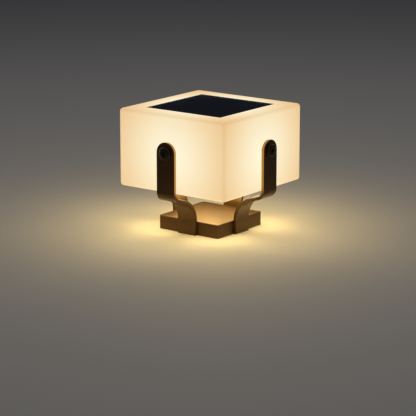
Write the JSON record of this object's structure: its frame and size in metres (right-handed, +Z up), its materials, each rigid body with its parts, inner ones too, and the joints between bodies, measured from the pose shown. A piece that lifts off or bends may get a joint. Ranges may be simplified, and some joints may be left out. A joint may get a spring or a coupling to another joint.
{
  "type": "solar pillar light",
  "caption": "Square opal outdoor lamp with a solar panel in its top, held off a low hollow base by bent strap arms, for fixing to the top of a pillar or post.",
  "frame": {"origin": "bottom centre of the base, on the surface that the light stands on", "axes": "+Z up; the shade's faces look along X and Y; -Y is the front, with the switch behind the centre"},
  "size_m": [0.233, 0.233, 0.1905],
  "materials": {
    "bronze": "satin dark bronze with a fine brushed grain",
    "steel": "zinc-plated",
    "opal": "translucent white, lit from inside",
    "rubber": "matt",
    "panel_glass": "clear tempered",
    "solar_cell": "dark blue-black silicon",
    "panel_black": "matt black",
    "aluminium": "natural extrusion",
    "circuit_board": "white solder mask",
    "led": "phosphor",
    "lens": "frosted",
    "white_plastic": "moulded",
    "battery_wrap": "plain shrink sleeve",
    "brass": "plated",
    "black_plastic": "moulded",
    "lead": "sheathed"
  },
  "bodies": {
    "light": {"base_cover": "bronze", "arm_right": "bronze", "arm_back": "bronze", "arm_left": "bronze", "arm_front": "bronze", "shade_screws": "bronze", "spacers": "bronze", "cover_screws": "bronze", "mounting_plate": "steel", "arm_screws": "steel", "shade_washers": "steel", "shade_nuts": "steel", "bottom_screws": "steel", "column_screws": "steel", "lid_screws": "steel", "shade": "opal", "bottom_plate": "opal", "shade_seals": "rubber", "panel_gasket": "rubber", "bottom_gasket": "rubber", "panel_glass": "panel_glass", "solar_cells": "solar_cell", "panel_backing": "panel_black", "junction_box": "panel_black", "lamp_column": "aluminium", "heat_sink": "aluminium", "led_boards": "circuit_board", "downlight_board": "circuit_board", "control_board": "circuit_board", "side_leds": "led", "downlight_led": "led", "downlight_lens": "lens", "battery_tray": "white_plastic", "tray_lid": "white_plastic", "battery_cells": "battery_wrap", "battery_contacts": "brass", "board_parts": "black_plastic", "switch_body": "black_plastic", "switch_nut": "black_plastic", "panel_lead": "lead", "downlight_lead": "lead", "switch_lead": "lead"},
    "switch_button": {"switch_button": "black_plastic"}
  },
  "joints": [
    {"name": "switch_press", "type": "slide", "parent": "light", "child": "switch_button", "axis": [0, 0, 1], "range_m": [0, 0.0018], "stiffness_N_per_m": 1500}
  ]
}
